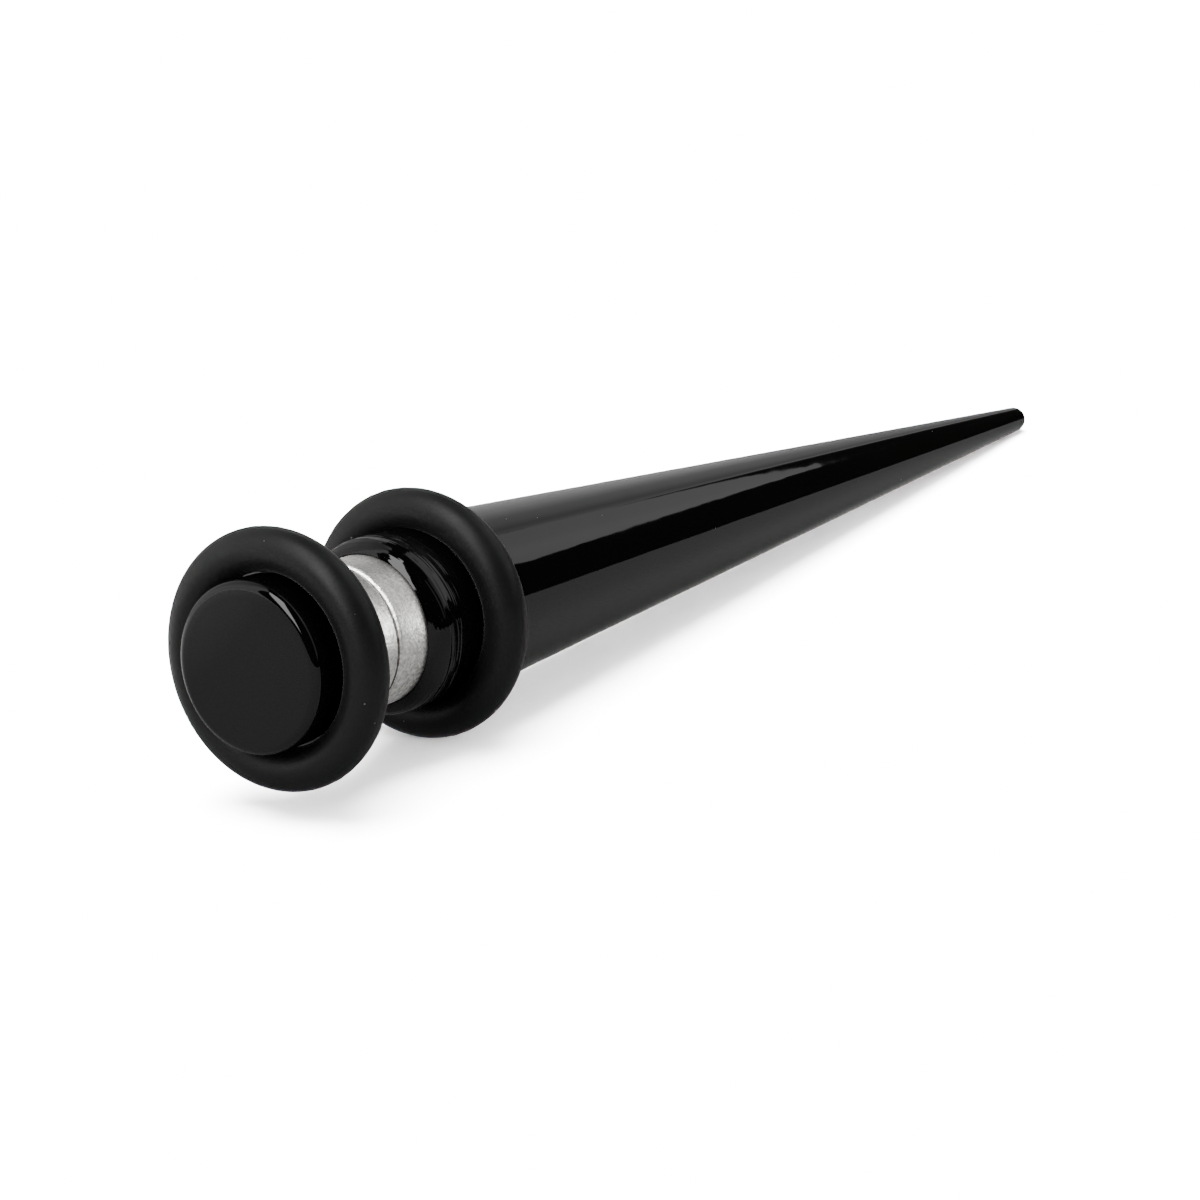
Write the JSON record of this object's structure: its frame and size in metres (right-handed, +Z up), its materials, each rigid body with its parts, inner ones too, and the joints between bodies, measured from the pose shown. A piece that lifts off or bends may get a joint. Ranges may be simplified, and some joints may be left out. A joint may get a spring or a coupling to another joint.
{
  "type": "magnetic earring",
  "caption": "Magnetic faux taper earring: a button and a long round spike, each with a rubber O-ring and a disc magnet, clamp the ear lobe between the magnets.",
  "frame": {"origin": "on the surface that the earring lies on, under the middle of its length and width", "axes": "+X from the front button towards the tip of the spike, level; +Z up from the surface; +Y across. The earring's own axis slopes down from the button to the tip by 4.59 degrees, because it lies on the spike's O-ring and its tip."},
  "size_m": [0.07, 0.0106, 0.0114],
  "materials": {
    "black_acrylic": "polished cast acrylic, black, mirror gloss",
    "black_rubber": "moulded nitrile rubber, black, satin",
    "nickel": "nickel plated, satin"
  },
  "bodies": {
    "rear": {"spike": "black_acrylic", "rear_ring": "black_rubber", "rear_magnet": "nickel"},
    "front": {"front_cap": "black_acrylic", "front_ring": "black_rubber", "front_magnet": "nickel"}
  },
  "joints": [
    {"name": "pull_apart", "type": "slide", "parent": "rear", "child": "front", "axis": [-0.9968, 0, 0.0801], "range_m": [0, 0.015], "stiffness_N_per_m": 0.25, "springref_m": -0.2}
  ]
}
